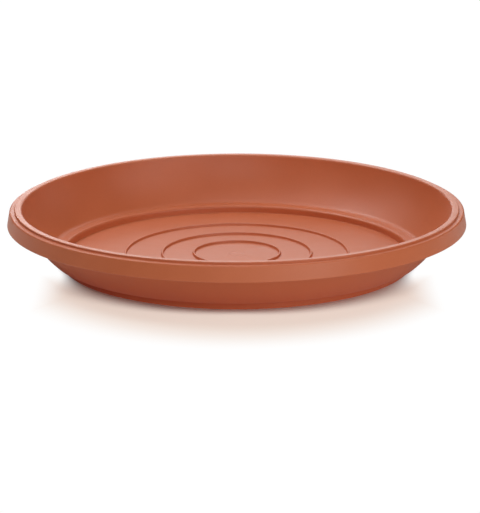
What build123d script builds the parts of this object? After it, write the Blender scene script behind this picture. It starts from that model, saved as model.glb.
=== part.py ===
from build123d import *
import math
import os

# Round plant saucer, one plastic moulding of nearly even wall. Millimetres, +Z up.
# The origin is the middle of the foot ring, on the surface that the saucer stands on.

# Overall sizes
outer_diameter = 400.0          # across the lower edge of the rim's skirt
overall_height = 50.7
wall = 2.0                      # bowed wall and ledge
floor_thickness = 2.3

# Rim: a flat bead, a step down to a narrow shelf, and a skirt that hangs outside the wall
skirt_height = 13.2             # from the shelf down to the skirt's lower edge, the hem
skirt_flare = 2.4               # the hem stands out this far beyond the skirt's top
skirt_edge_bevel = 0.9
shelf_width = 4.4
step_drop = 2.0
bead_width = 5.7
lip_bevel = 1.2                 # inner edge of the bead
rim_thickness = 2.0

# Bowed wall and ledge
wall_run = 25.6                 # the wall's inner face leans out this far from ledge to bead
wall_bow_radius = 88.4          # of its inner face
ledge_width = 10.5
ledge_hollow_radius = 8.0

# Base: the riser stands round the floor, and its back ends in the foot ring
riser_wall = 3.4
riser_height = 6.4              # from the lowest part of the floor up to the ledge
riser_draft = 4.0               # degrees, so that the base leaves its mould
riser_top_bevel = 1.5
riser_foot_bevel = 0.7
foot_lift = 2.0                 # the middle of the floor clears the table by this much
floor_fall = 1.4                # the floor falls this far from the rings out to the riser
foot_width = 2.4

# Raised rings that keep the pot out of the water
inner_ring_diameter = 75.6
middle_ring_diameter = 130.8
outer_ring_diameter = 195.8
ring_width = 2.4
ring_crest_width = 1.0
ring_height = 2.0

# Marks of the moulding gate, on both faces of the floor's middle
gate_dimple_diameter = 13.0
gate_dimple_depth = 0.35
gate_well_diameter = 16.0
gate_well_depth = 0.8
gate_pip_diameter = 4.0
gate_pip_height = 0.4

overrun = 1.0                   # how far a cut or a fused form reaches past the face that it meets

# Levels above the table
floor_level = foot_lift + floor_thickness
gutter_level = floor_level - floor_fall
ledge_level = gutter_level + riser_height
shoulder_level = ledge_level - wall
bead_underside = overall_height - rim_thickness
shelf_level = overall_height - step_drop
shelf_underside = shelf_level - rim_thickness
hem_level = shelf_level - skirt_height

# Distances from the axis, from the rim inwards
hem = outer_diameter / 2
skirt_top = hem - skirt_flare
bead_edge = skirt_top - shelf_width
bore = bead_edge - bead_width
ledge_edge = bore - wall_run
riser_top = ledge_edge - ledge_width
fall_start = (outer_ring_diameter + ring_width) / 2


# The riser's face leans by its draft, and its back runs parallel to it
def riser_face(level):
    return riser_top - (ledge_level - level) * math.tan(math.radians(riser_draft))


def riser_back(level):
    return riser_face(level) + riser_wall / math.cos(math.radians(riser_draft))


# Both faces of the wall are arcs about one centre, so the wall is even from ledge to rim
def bow_centre():
    low_end = Vector(ledge_edge, ledge_level)
    high_end = Vector(bore, overall_height)
    chord = high_end - low_end
    reach = math.sqrt(wall_bow_radius**2 - (chord.length / 2) ** 2)
    return (low_end + high_end) / 2 + chord.normalized().rotate(Axis.Z, 90) * reach


def wall_back(level):
    centre = bow_centre()
    return centre.X + math.sqrt(back_bow_radius**2 - (level - centre.Y) ** 2)


back_bow_radius = wall_bow_radius + wall
shoulder = wall_back(shoulder_level)
wall_root = wall_back(bead_underside)
foot = riser_back(0)
foot_bore = foot - foot_width
base_top = riser_back(shoulder_level)

# Each corner of the half section that is bevelled: distance from the axis, level, bevel
bevelled_corners = [
    (skirt_top, shelf_level, skirt_edge_bevel),
    (bore, overall_height, lip_bevel),
    (riser_top, ledge_level, riser_top_bevel),
    (riser_face(gutter_level), gutter_level, riser_foot_bevel),
]

with BuildPart() as saucer:
    # The whole section of the moulding, turned once round the axis
    with BuildSketch(Plane.XZ) as section:
        with BuildLine():
            # Underside of the floor, foot ring, back of the riser and of the ledge
            Polyline(
                (0, foot_lift),
                (fall_start, foot_lift),
                (foot_bore, foot_lift - floor_fall),
                (foot_bore, 0),
                (foot, 0),
                (base_top, shoulder_level),
                (shoulder, shoulder_level),
            )
            RadiusArc((shoulder, shoulder_level), (wall_root, bead_underside), -back_bow_radius)
            # Channel under the rim, round the hem, up the skirt and over the step to the bead
            Polyline(
                (wall_root, bead_underside),
                (bead_edge - rim_thickness, bead_underside),
                (bead_edge - rim_thickness, shelf_underside),
                (skirt_top - rim_thickness, shelf_underside),
                (hem - rim_thickness, hem_level),
                (hem, hem_level),
                (skirt_top, shelf_level),
                (bead_edge, shelf_level),
                (bead_edge, overall_height),
                (bore, overall_height),
            )
            # Inside: wall, ledge, riser, and the floor with the gutter round it
            RadiusArc((bore, overall_height), (ledge_edge, ledge_level), wall_bow_radius)
            Polyline(
                (ledge_edge, ledge_level),
                (riser_top, ledge_level),
                (riser_face(gutter_level), gutter_level),
                (fall_start, floor_level),
                (0, floor_level),
                (0, foot_lift),
            )
        make_face()
        ledge_corner = section.vertices().sort_by_distance(Vector(ledge_edge, ledge_level))[0]
        fillet(ledge_corner, ledge_hollow_radius)
        for distance, level, bevel in bevelled_corners:
            chamfer(section.vertices().sort_by_distance(Vector(distance, level))[0], bevel)
    revolve(axis=Axis.Z)

    # Raised rings, each a low trapezium rooted in the floor
    for diameter in (inner_ring_diameter, middle_ring_diameter, outer_ring_diameter):
        with BuildSketch(Plane.XZ):
            with BuildLine(Location((diameter / 2, floor_level))):
                Polyline(
                    (-ring_width / 2, -overrun),
                    (ring_width / 2, -overrun),
                    (ring_width / 2, 0),
                    (ring_crest_width / 2, ring_height),
                    (-ring_crest_width / 2, ring_height),
                    (-ring_width / 2, 0),
                    close=True,
                )
            make_face()
        revolve(axis=Axis.Z)

    # Gate marks: a shallow dimple on top, a well with the trimmed pip in it below
    with BuildSketch(Plane.XY.offset(floor_level)):
        Circle(gate_dimple_diameter / 2)
    extrude(amount=-gate_dimple_depth, mode=Mode.SUBTRACT)
    with BuildSketch(Plane.XY.offset(foot_lift)):
        Circle(gate_well_diameter / 2)
    extrude(amount=gate_well_depth, mode=Mode.SUBTRACT)
    with BuildSketch(Plane.XY.offset(foot_lift + gate_well_depth)):
        Circle(gate_pip_diameter / 2)
    extrude(amount=-gate_pip_height)

saucer.part.label = "saucer"
os.makedirs("parts", exist_ok=True)
export_step(saucer.part, "parts/saucer.step")
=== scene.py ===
import math

import bpy
import bmesh
from mathutils import Matrix, Vector


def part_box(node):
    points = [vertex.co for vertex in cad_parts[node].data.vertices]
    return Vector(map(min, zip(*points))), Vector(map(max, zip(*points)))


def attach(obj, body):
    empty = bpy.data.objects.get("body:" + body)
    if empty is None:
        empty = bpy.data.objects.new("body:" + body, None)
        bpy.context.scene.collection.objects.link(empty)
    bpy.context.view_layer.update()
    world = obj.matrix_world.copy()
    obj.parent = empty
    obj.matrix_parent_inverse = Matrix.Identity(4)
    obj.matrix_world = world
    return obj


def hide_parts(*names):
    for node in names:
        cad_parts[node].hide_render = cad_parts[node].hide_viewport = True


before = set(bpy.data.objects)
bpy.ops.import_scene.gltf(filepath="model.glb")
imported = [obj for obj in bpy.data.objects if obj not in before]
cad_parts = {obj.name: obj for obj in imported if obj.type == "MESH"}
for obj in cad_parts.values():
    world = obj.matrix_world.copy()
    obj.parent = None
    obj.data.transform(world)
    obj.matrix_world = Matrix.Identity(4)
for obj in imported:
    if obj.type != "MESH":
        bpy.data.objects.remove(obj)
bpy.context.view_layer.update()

# Saucer
# One dish of terracotta-coloured plastic, injection-moulded through a gate in the middle of its floor.
# It is round all over, so its half section is drawn once and turned round the axis. It stands on its
# foot ring and nothing is fixed to it.

low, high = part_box("saucer")
mm = 0.001

# Sizes of the moulding, in millimetres
outer_radius = 200.0
height = (high.z - low.z) / mm
wall = 2.0
floor_thickness = 2.3
foot_lift = 2.0
floor_fall = 1.4

skirt_height = 13.2
skirt_flare = 2.4
shelf_width = 4.4
step_drop = 2.0
bead_width = 5.7
rim_thickness = 2.0

wall_run = 25.6
bow = 88.4
ledge_width = 10.5
riser_wall = 3.4
riser_height = 6.4
riser_draft = math.tan(math.radians(4.0))
foot_width = 2.4

ring_diameters = (195.8, 130.8, 75.6)
ring_width = 2.4
ring_crest = 1.0
ring_height = 2.0

# Marks of the gate: a dimple with sloped sides on top, a well with the trimmed pip in it below
dimple_mouth = 7.4
dimple_bottom = 5.6
dimple_depth = 0.35
well_radius = 8.0
well_depth = 0.8
pip_radius = 2.0
pip_height = 0.4

# Radii of the edges, on the inside from the lip to the gate
lip_round = 2.2
hollow_round = 8.0
riser_top_round = 2.5
riser_foot_round = 0.5
ring_root_round = 0.3
ring_crest_round = 0.35
dimple_round = 3.0

# Radii of the edges, on the outside from the bead to the pip
bead_round = 0.6
step_round = 0.4
skirt_round = 1.4
hem_round = 0.7
channel_round = 0.9
bead_back_round = 0.3
root_round = 0.9
shoulder_round = 0.6
back_round = 1.5
foot_round = 0.5
foot_bore_round = 0.4
well_round = 0.3
pip_round = 0.12

# Levels above the table
floor_level = foot_lift + floor_thickness
gutter_level = floor_level - floor_fall
ledge_level = gutter_level + riser_height
shoulder_level = ledge_level - wall
bead_underside = height - rim_thickness
shelf_level = height - step_drop
shelf_underside = shelf_level - rim_thickness
hem_level = shelf_level - skirt_height
crest_level = floor_level + ring_height
well_level = foot_lift + well_depth
pip_level = well_level - pip_height

# Distances from the axis
skirt_top = outer_radius - skirt_flare
bead_edge = skirt_top - shelf_width
bore = bead_edge - bead_width
ledge_edge = bore - wall_run
riser_top = ledge_edge - ledge_width
riser_foot = riser_top - riser_height * riser_draft
fall_start = (ring_diameters[0] + ring_width) / 2
back_step = riser_wall * math.hypot(1, riser_draft)
foot = riser_top + back_step - ledge_level * riser_draft
base_top = riser_top + back_step - wall * riser_draft
foot_bore = foot - foot_width

# The wall's two faces are arcs about one centre
low_end = Vector((ledge_edge, ledge_level))
high_end = Vector((bore, height))
chord = high_end - low_end
reach = math.sqrt(bow ** 2 - (chord.length / 2) ** 2)
bow_centre = (low_end + high_end) / 2 + Vector((-chord.y, chord.x)).normalized() * reach


def arc(centre, start, end, count):
    """Points from start to end on the short way round the centre."""
    from_centre = start - centre
    turn = from_centre.angle_signed(end - centre)
    points = []
    for i in range(count + 1):
        a = -turn * i / count
        points.append(centre + Vector((
            from_centre.x * math.cos(a) - from_centre.y * math.sin(a),
            from_centre.x * math.sin(a) + from_centre.y * math.cos(a))))
    return points


def joint_with_bow(level, side, radius, bow_radius, inside):
    """Rounding between a level face and a face of the wall: its centre and where it touches each."""
    centre_level = level + side * radius
    to_centre = bow_radius - inside * radius
    out = math.sqrt(to_centre ** 2 - (bow_centre.y - centre_level) ** 2)
    centre = Vector((bow_centre.x + out, centre_level))
    on_bow = bow_centre + (centre - bow_centre) * (bow_radius / to_centre)
    return centre, Vector((centre.x, level)), on_bow


def edges_rounded(corners):
    """A line through the corners, each rounded to the radius that stands third in it.

    A point on either side of a rounding keeps the shading of the faces beside it even.
    """
    finest_turn = math.radians(15)
    points = [Vector(corners[0][:2])]
    for before, corner, after in zip(corners, corners[1:], corners[2:]):
        here, radius = Vector(corner[:2]), corner[2]
        if radius == 0:
            points.append(here)
            continue
        to_before = Vector(before[:2]) - here
        to_after = Vector(after[:2]) - here
        half = to_before.angle(to_after) / 2
        along = radius / math.tan(half)
        start = here + to_before.normalized() * along
        end = here + to_after.normalized() * along
        inwards = (to_before.normalized() + to_after.normalized()).normalized()
        centre = here + inwards * (radius / math.sin(half))
        hold = 0.12 + radius * 0.15
        room = hold * 2.5
        if to_before.length - along > room:
            points.append(start + to_before.normalized() * hold)
        points += arc(centre, start, end, max(3, math.ceil((math.pi - 2 * half) / finest_turn)))
        if to_after.length - along > room:
            points.append(end + to_after.normalized() * hold)
    points.append(Vector(corners[-1][:2]))
    return points


shoulder_centre, shoulder_low, shoulder_high = joint_with_bow(
    shoulder_level, 1, shoulder_round, bow + wall, 1)
root_centre, root_level, root_wall = joint_with_bow(bead_underside, -1, root_round, bow + wall, -1)
lip_centre, lip_level, lip_wall = joint_with_bow(height, -1, lip_round, bow, -1)
hollow_centre, hollow_level, hollow_wall = joint_with_bow(ledge_level, 1, hollow_round, bow, 1)

# Underside: gate well with its trimmed pip, floor, foot ring, back of the riser and of the ledge
section = edges_rounded([
    (0, pip_level),
    (pip_radius, pip_level, pip_round),
    (pip_radius, well_level, pip_round),
    (well_radius, well_level, well_round),
    (well_radius, foot_lift, well_round),
    (fall_start, foot_lift, 0),
    (foot_bore, foot_lift - floor_fall, foot_bore_round),
    (foot_bore, 0, foot_round),
    (foot, 0, foot_round),
    (base_top, shoulder_level, back_round),
    tuple(shoulder_low),
])
# Back of the wall, then the hollow under the rim, the hem, the skirt and the bead
section += arc(shoulder_centre, shoulder_low, shoulder_high, 5)[1:]
section += arc(bow_centre, shoulder_high, root_wall, 26)[1:]
section += arc(root_centre, root_wall, root_level, 5)[1:-1]
section += edges_rounded([
    tuple(root_level),
    (bead_edge - rim_thickness, bead_underside, bead_back_round),
    (bead_edge - rim_thickness, shelf_underside, bead_back_round),
    (skirt_top - rim_thickness, shelf_underside, channel_round),
    (outer_radius - rim_thickness, hem_level, hem_round),
    (outer_radius, hem_level, hem_round),
    (skirt_top, shelf_level, skirt_round),
    (bead_edge, shelf_level, step_round),
    (bead_edge, height, bead_round),
    tuple(lip_level),
])
# Inside: lip, wall, hollow, ledge, riser, floor with its raised rings, and the gate's dimple
section += arc(lip_centre, lip_level, lip_wall, 8)[1:]
section += arc(bow_centre, lip_wall, hollow_wall, 30)[1:]
section += arc(hollow_centre, hollow_wall, hollow_level, 6)[1:-1]
inside = [
    tuple(hollow_level),
    (riser_top, ledge_level, riser_top_round),
    (riser_foot, gutter_level, riser_foot_round),
]
for diameter in ring_diameters:
    middle = diameter / 2
    inside += [
        (middle + ring_width / 2, floor_level, ring_root_round),
        (middle + ring_crest / 2, crest_level, ring_crest_round),
        (middle - ring_crest / 2, crest_level, ring_crest_round),
        (middle - ring_width / 2, floor_level, ring_root_round),
    ]
inside += [
    (dimple_mouth, floor_level, dimple_round),
    (dimple_bottom, floor_level - dimple_depth, dimple_round),
    (0, floor_level - dimple_depth),
]
section += edges_rounded(inside)


def wire(tree, kind, sockets=None, **settings):
    """Adds a node to the tree. Each socket named is set to a value or fed by another node's output."""
    node = tree.nodes.new(kind)
    for name, value in settings.items():
        setattr(node, name, value)
    for name, value in (sockets or {}).items():
        if isinstance(value, bpy.types.NodeSocket):
            tree.links.new(value, node.inputs[name])
        else:
            node.inputs[name].default_value = value
    return node


# Terracotta-coloured plastic, coloured through: satin from its mould, with a fine grain,
# cloudy pigment, and a bead and rings that are rubbed a little paler
deep_terracotta = (0.550, 0.134, 0.0490, 1.0)
light_terracotta = (0.582, 0.146, 0.0550, 1.0)
pigment_speck = (0.48, 0.108, 0.034, 1.0)
rubbed_terracotta = (0.66, 0.24, 0.14, 1.0)

plastic = bpy.data.materials.new("terracotta_plastic")
plastic.use_nodes = True
coat = plastic.node_tree
coat.nodes.clear()
place = wire(coat, "ShaderNodeTexCoord").outputs["Object"]

cloud = wire(coat, "ShaderNodeTexNoise", {
    "Vector": place, "Scale": 16.0, "Detail": 4.0, "Roughness": 0.55}).outputs["Fac"]
cloudiness = wire(coat, "ShaderNodeMapRange", {"Value": cloud, "From Min": 0.3, "From Max": 0.7})
clouded = wire(coat, "ShaderNodeMix", {
    "Factor": cloudiness.outputs["Result"], "A": deep_terracotta, "B": light_terracotta}, data_type="RGBA")

pigment = wire(coat, "ShaderNodeTexNoise", {"Vector": place, "Scale": 620.0, "Detail": 2.0})
speck = wire(coat, "ShaderNodeMapRange", {
    "Value": pigment.outputs["Fac"], "From Min": 0.35, "From Max": 0.75, "To Max": 0.10})
speckled = wire(coat, "ShaderNodeMix", {
    "Factor": speck.outputs["Result"], "A": clouded.outputs["Result"], "B": pigment_speck}, data_type="RGBA")

# Rubbed places: pots scrape the crests of the rings, and hands hold the bead
full_on_rings, none_beyond_rings = 0.110, 0.120
scraped_from = floor_level + 0.7 * ring_height
held_from, held_fully = shelf_level + 0.3, shelf_level + 0.9
level = wire(coat, "ShaderNodeSeparateXYZ", {"Vector": place}).outputs["Z"]
sunk = wire(coat, "ShaderNodeVectorMath", {0: place, 1: (1.0, 1.0, 0.0)}, operation="MULTIPLY")
from_axis = wire(coat, "ShaderNodeVectorMath", {0: sunk.outputs["Vector"]}, operation="LENGTH")
on_rings = wire(coat, "ShaderNodeMapRange", {
    "Value": from_axis.outputs["Value"], "From Min": none_beyond_rings,
    "From Max": full_on_rings})
crest = wire(coat, "ShaderNodeMapRange", {
    "Value": level, "From Min": scraped_from * mm, "From Max": crest_level * mm, "To Max": 0.25})
scraped = wire(coat, "ShaderNodeMath", {
    0: crest.outputs["Result"], 1: on_rings.outputs["Result"]}, operation="MULTIPLY")
held = wire(coat, "ShaderNodeMapRange", {
    "Value": level, "From Min": held_from * mm, "From Max": held_fully * mm, "To Max": 0.2})
worn = wire(coat, "ShaderNodeMath", {
    0: scraped.outputs["Value"], 1: held.outputs["Result"]}, operation="MAXIMUM")
rubbed = wire(coat, "ShaderNodeMix", {
    "Factor": worn.outputs["Value"], "A": speckled.outputs["Result"], "B": rubbed_terracotta},
    data_type="RGBA")

# Mould grain, and a slow waviness that breaks up the reflections
grain = wire(coat, "ShaderNodeTexNoise", {
    "Vector": place, "Scale": 1500.0, "Detail": 3.0, "Roughness": 0.6})
fine = wire(coat, "ShaderNodeBump", {
    "Height": grain.outputs["Fac"], "Strength": 0.35, "Distance": 0.00012})
wave = wire(coat, "ShaderNodeTexNoise", {"Vector": place, "Scale": 38.0, "Detail": 2.0})
slow = wire(coat, "ShaderNodeBump", {
    "Height": wave.outputs["Fac"], "Strength": 0.4, "Distance": 0.00025, "Normal": fine.outputs["Normal"]})

# The gloss is uneven, in clouds and in faint streaks along which the plastic flowed out from the gate
outwards_only = wire(coat, "ShaderNodeVectorMath", {0: sunk.outputs["Vector"]}, operation="NORMALIZE")
streaks = wire(coat, "ShaderNodeTexNoise", {
    "Vector": outwards_only.outputs["Vector"], "Scale": 11.0, "Detail": 3.0})
uneven = wire(coat, "ShaderNodeMix", {
    "Factor": 0.35, "A": cloud, "B": streaks.outputs["Fac"]}, data_type="FLOAT")
dull = wire(coat, "ShaderNodeMapRange", {
    "Value": uneven.outputs["Result"], "From Min": 0.3, "From Max": 0.7, "To Min": 0.36, "To Max": 0.46})

satin = wire(coat, "ShaderNodeBsdfPrincipled", {
    "Base Color": rubbed.outputs["Result"], "Roughness": dull.outputs["Result"], "IOR": 1.46,
    "Normal": slow.outputs["Normal"]})
wire(coat, "ShaderNodeOutputMaterial", {"Surface": satin.outputs["BSDF"]})

# The half section as a line of points, from the axis underneath, round the rim, to the axis on top
line = bpy.data.meshes.new("saucer_section")
line.from_pydata([(p.x * mm, 0, p.y * mm) for p in section],
                 [(i, i + 1) for i in range(len(section) - 1)], [])
turned = bpy.data.objects.new("saucer_turned", line)
bpy.context.scene.collection.objects.link(turned)

# Lathe: a grid of steps round the axis by points along the section, each point moved to its place
steps_round = 280
lathe = bpy.data.node_groups.new("turn_round_axis", "GeometryNodeTree")
lathe.interface.new_socket("Section", in_out="INPUT", socket_type="NodeSocketGeometry")
steps_in = lathe.interface.new_socket("Steps round", in_out="INPUT", socket_type="NodeSocketInt")
points_in = lathe.interface.new_socket("Points in section", in_out="INPUT", socket_type="NodeSocketInt")
plastic_in = lathe.interface.new_socket("Plastic", in_out="INPUT", socket_type="NodeSocketMaterial")
lathe.interface.new_socket("Saucer", in_out="OUTPUT", socket_type="NodeSocketGeometry")
given = wire(lathe, "NodeGroupInput").outputs

columns = wire(lathe, "ShaderNodeMath", {0: given["Steps round"], 1: 1}, operation="ADD")
grid = wire(lathe, "GeometryNodeMeshGrid", {
    "Vertices X": columns.outputs["Value"], "Vertices Y": given["Points in section"]})

index = wire(lathe, "GeometryNodeInputIndex").outputs["Index"]
across = wire(lathe, "ShaderNodeMath", {0: index, 1: given["Points in section"]}, operation="MODULO")
share = wire(lathe, "ShaderNodeMath", {0: index, 1: given["Points in section"]}, operation="DIVIDE")
column = wire(lathe, "ShaderNodeMath", {0: share.outputs["Value"]}, operation="FLOOR")
one_step = wire(lathe, "ShaderNodeMath", {0: math.tau, 1: given["Steps round"]}, operation="DIVIDE")
angle = wire(lathe, "ShaderNodeMath", {
    0: column.outputs["Value"], 1: one_step.outputs["Value"]}, operation="MULTIPLY")

where = wire(lathe, "GeometryNodeInputPosition").outputs["Position"]
picked = wire(lathe, "GeometryNodeSampleIndex", {
    "Geometry": given["Section"], "Value": where, "Index": across.outputs["Value"]},
    data_type="FLOAT_VECTOR", domain="POINT")
swung = wire(lathe, "ShaderNodeVectorRotate", {
    "Vector": picked.outputs["Value"], "Angle": angle.outputs["Value"]}, rotation_type="Z_AXIS")
placed = wire(lathe, "GeometryNodeSetPosition", {
    "Geometry": grid.outputs["Mesh"], "Position": swung.outputs["Vector"]})

closed = wire(lathe, "GeometryNodeMergeByDistance", {
    "Geometry": placed.outputs["Geometry"], "Distance": 0.000002})
smooth = wire(lathe, "GeometryNodeSetShadeSmooth", {"Geometry": closed.outputs["Geometry"]})
real = wire(lathe, "GeometryNodeRealizeInstances", {"Geometry": smooth.outputs["Geometry"]})
coated = wire(lathe, "GeometryNodeSetMaterial", {
    "Geometry": real.outputs["Geometry"], "Material": given["Plastic"]})
wire(lathe, "NodeGroupOutput", {"Saucer": coated.outputs["Geometry"]})

turning = turned.modifiers.new("turning", "NODES")
turning.node_group = lathe
turning[steps_in.identifier] = steps_round
turning[points_in.identifier] = len(section)
turning[plastic_in.identifier] = plastic

made = bpy.data.meshes.new_from_object(turned.evaluated_get(bpy.context.evaluated_depsgraph_get()))
bpy.data.objects.remove(turned)

# Such a wide thin dish leaves its mould a little out of true: its rim sags at the left and right
rim_sag = 1.2
shell = bmesh.new()
shell.from_mesh(made)
for vertex in shell.verts:
    sideways_share = (vertex.co.x / (outer_radius * mm)) ** 2
    vertex.co.z *= 1 - rim_sag / height * sideways_share
bmesh.ops.recalc_face_normals(shell, faces=shell.faces)
shell.to_mesh(made)
shell.free()

saucer = bpy.data.objects.new("saucer_dish", made)
bpy.context.scene.collection.objects.link(saucer)
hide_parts("saucer")
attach(saucer, "root")

# Table
# A plain white table top that runs out of sight, on which the saucer rests at level zero. A painted glare,
# seen by the camera alone, makes it pure white, with a painted warm shade in front of the saucer; for other
# rays it has a painted warm glow near the saucer.

table_white = bpy.data.materials.new("table_white")
table_white.use_nodes = True
table_nodes = table_white.node_tree
top = table_nodes.nodes["Principled BSDF"]
top.inputs["Base Color"].default_value = (0.76, 0.88, 0.86, 1.0)
top.inputs["Roughness"].default_value = 0.3
# Emission colour of the painted warm glow that lights the saucer from below
top.inputs["Emission Color"].default_value = (1.0, 0.30, 0.26, 1.0)

table_place = wire(table_nodes, "ShaderNodeTexCoord").outputs["Object"]
flat = wire(table_nodes, "ShaderNodeSeparateXYZ", {"Vector": table_place})

# The painted shade lies in front of the saucer: it fades out to the front, to both sides and towards the
# back
shade_depth, depth_fade = 0.265, 0.070
shade_half_width, side_fade = 0.172, 0.037
shade_back, back_fade = -0.045, 0.070
shade_squeeze = (1.2, 1.0, 1.0)
squeezed = wire(table_nodes, "ShaderNodeVectorMath", {0: table_place, 1: shade_squeeze}, operation="MULTIPLY")
reach_out = wire(table_nodes, "ShaderNodeVectorMath", {0: squeezed.outputs["Vector"]}, operation="LENGTH")
beyond = wire(table_nodes, "ShaderNodeMapRange", {
    "Value": reach_out.outputs["Value"], "From Min": shade_depth - depth_fade, "From Max": shade_depth},
    interpolation_type="SMOOTHSTEP")
off_middle = wire(table_nodes, "ShaderNodeMath", {0: flat.outputs["X"]}, operation="ABSOLUTE").outputs["Value"]
aside = wire(table_nodes, "ShaderNodeMapRange", {
    "Value": off_middle, "From Min": shade_half_width - side_fade, "From Max": shade_half_width},
    interpolation_type="SMOOTHSTEP")
behind = wire(table_nodes, "ShaderNodeMapRange", {
    "Value": flat.outputs["Y"], "From Min": shade_back - back_fade, "From Max": shade_back},
    interpolation_type="SMOOTHSTEP").outputs["Result"]
farther = wire(table_nodes, "ShaderNodeMath", {
    0: beyond.outputs["Result"], 1: aside.outputs["Result"]}, operation="MAXIMUM")
out_of_shade = wire(table_nodes, "ShaderNodeMath", {
    0: farther.outputs["Value"], 1: behind}, operation="MAXIMUM").outputs["Value"]

# The painted glare stays off a line round the foot, where the lamp-lit table with its real shadow shows
# dark; the line is wider in front, most of all to the left and right
foot_edge = foot * mm
line_end_middle, line_end_side, line_end_behind = foot_edge + 0.017, foot_edge + 0.037, foot_edge + 0.006
line_start_middle, line_start_side = foot_edge + 0.001, foot_edge - 0.005
line_in_front = wire(table_nodes, "ShaderNodeMapRange", {
    "Value": off_middle, "From Max": shade_half_width,
    "To Min": line_end_middle, "To Max": line_end_side})
line_end = wire(table_nodes, "ShaderNodeMix", {
    "Factor": behind, "A": line_in_front.outputs["Result"], "B": line_end_behind}, data_type="FLOAT")
line_start = wire(table_nodes, "ShaderNodeMapRange", {
    "Value": off_middle, "From Min": 0.060, "From Max": 0.150,
    "To Min": line_start_middle, "To Max": line_start_side})
from_foot = wire(table_nodes, "ShaderNodeVectorMath", {0: table_place}, operation="LENGTH")
off_foot = wire(table_nodes, "ShaderNodeMapRange", {
    "Value": from_foot.outputs["Value"], "From Min": line_start.outputs["Result"],
    "From Max": line_end.outputs["Result"]}, interpolation_type="SMOOTHSTEP")

# Painted warm glow: towards the saucer the table glows warm for every ray but the camera's, in place of the
# warm light that falls on it from the plastic, and so lights the saucer from below
seen = wire(table_nodes, "ShaderNodeLightPath").outputs["Is Camera Ray"]
unseen = wire(table_nodes, "ShaderNodeMath", {0: 1.0, 1: seen}, operation="SUBTRACT")
warmth = wire(table_nodes, "ShaderNodeMapRange", {"Value": out_of_shade, "To Min": 0.18, "To Max": 0.09})
painted_warm_glow = wire(table_nodes, "ShaderNodeMath", {
    0: warmth.outputs["Result"], 1: unseen.outputs["Value"]}, operation="MULTIPLY")
table_nodes.links.new(painted_warm_glow.outputs["Value"], top.inputs["Emission Strength"])

# Painted white glare for the camera: full beyond the painted shade, thinner and warmer in it, none at the
# foot
glare_in_shade = (1.0, 0.82, 0.72, 1.0)
glare_beyond = (1.01, 1.01, 1.01, 1.0)
glare_colour = wire(table_nodes, "ShaderNodeMix", {
    "Factor": out_of_shade, "A": glare_in_shade, "B": glare_beyond}, data_type="RGBA")
glare = wire(table_nodes, "ShaderNodeEmission", {"Color": glare_colour.outputs["Result"]})
amount = wire(table_nodes, "ShaderNodeMapRange", {"Value": out_of_shade, "To Min": 0.7})
amount_off_foot = wire(table_nodes, "ShaderNodeMath", {
    0: amount.outputs["Result"], 1: off_foot.outputs["Result"]}, operation="MULTIPLY")
amount_seen = wire(table_nodes, "ShaderNodeMath", {
    0: amount_off_foot.outputs["Value"], 1: seen}, operation="MULTIPLY")
glaring = wire(table_nodes, "ShaderNodeMixShader", {
    "Fac": amount_seen.outputs["Value"], 1: top.outputs["BSDF"], 2: glare.outputs["Emission"]})
table_nodes.links.new(glaring.outputs["Shader"], table_nodes.nodes["Material Output"].inputs["Surface"])

half_table = 30.0
table_mesh = bpy.data.meshes.new("table")
table_mesh.from_pydata([
    (-half_table, -half_table, 0), (half_table, -half_table, 0),
    (half_table, half_table, 0), (-half_table, half_table, 0)], [], [(0, 1, 2, 3)])
table_mesh.materials.append(table_white)
table = bpy.data.objects.new("table", table_mesh)
bpy.context.scene.collection.objects.link(table)

# Studio light
# A dim white room and soft boxes round the table, each turned to the saucer. The key stands low in
# front on the right, and small lamps behind on the left throw the crisp shade at the riser's foot.

studio = bpy.data.worlds.new("studio")
studio.use_nodes = True
walls = studio.node_tree.nodes["Background"]
walls.inputs["Color"].default_value = (1.0, 1.0, 1.0, 1.0)
walls.inputs["Strength"].default_value = 0.04
bpy.context.scene.world = studio

box_distance = 2.2
large = 1.1
small = 0.45


def soft_box(name, bearing, rise, side, watts):
    """A square diffuser that faces the saucer. Its bearing is in degrees, right of the camera's side."""
    lamp = bpy.data.lights.new(name, "AREA")
    lamp.shape = "SQUARE"
    lamp.size = side
    lamp.energy = watts
    box = bpy.data.objects.new(name, lamp)
    round_table, up = math.radians(bearing), math.radians(rise)
    outwards = Vector((
        math.sin(round_table) * math.cos(up), -math.cos(round_table) * math.cos(up), math.sin(up)))
    box.location = outwards * box_distance
    box.rotation_euler = (-outwards).to_track_quat("-Z", "Y").to_euler()
    bpy.context.scene.collection.objects.link(box)


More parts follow.
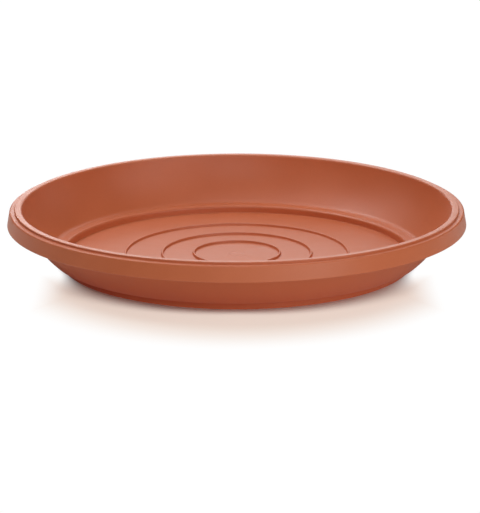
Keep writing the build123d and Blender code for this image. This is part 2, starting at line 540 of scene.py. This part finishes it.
soft_box("key_low_right", 35, 10, large, 12.4)
soft_box("right_box", 60, 38, large, 7.9)
soft_box("front_low", 0, 10, large, 1.6)
soft_box("front_left_box", -60, 38, large, 1.4)
soft_box("front_box", 0, 38, large, 7.0)
soft_box("right_low_behind", 125, 10, large, 2.0)
soft_box("back_low", 180, 10, large, 6.4)
soft_box("back_box", 180, 38, large, 7.7)
soft_box("back_left_box", -120, 38, large, 4.2)
soft_box("left_high", -90, 66, large, 5.0)
soft_box("overhead", 0, 90, large, 6.5)
soft_box("left_lamp", -90, 60, small, 1.0)
soft_box("back_left_lamp", -120, 53, small, 5.0)
soft_box("back_left_key", -150, 50, small, 8.6)
soft_box("back_lamp", 180, 60, small, 1.0)
soft_box("back_left_low", -167, 6, small, 2.4)

# Camera
# It looks across the saucer from low in front, as the photograph does. The aim puts the middle of
# the foot ring at its place in the picture.

picture_width, picture_height = 480, 513
focal_pixels = 2102.3
distance = 1850.0 * mm
elevation = math.radians(15.628)
middle_x, middle_y = 236.83, 258.16
roll = math.radians(0.07)

lens = bpy.data.cameras.new("camera")
lens.sensor_fit = "AUTO"
lens.sensor_width = 36.0
lens.lens = focal_pixels / picture_height * lens.sensor_width
lens.clip_start = 0.05
lens.clip_end = 60.0

right_of_centre = middle_x - picture_width / 2
below_centre = middle_y - picture_height / 2
sideways = math.atan2(right_of_centre, focal_pixels)
upwards = math.atan2(below_centre, math.hypot(focal_pixels, right_of_centre))
facing_middle = Matrix.Rotation(math.pi / 2 - elevation, 3, "X")
aim = Matrix.Rotation(upwards, 3, "X") @ Matrix.Rotation(sideways, 3, "Y") @ Matrix.Rotation(-roll, 3, "Z")
stand = Vector((0, -math.cos(elevation), math.sin(elevation))) * distance

camera = bpy.data.objects.new("camera", lens)
camera.matrix_world = Matrix.Translation(stand) @ (facing_middle @ aim).to_4x4()
bpy.context.scene.collection.objects.link(camera)
bpy.context.scene.camera = camera
bpy.context.scene.view_settings.view_transform = "Standard"

bpy.context.view_layer.update()
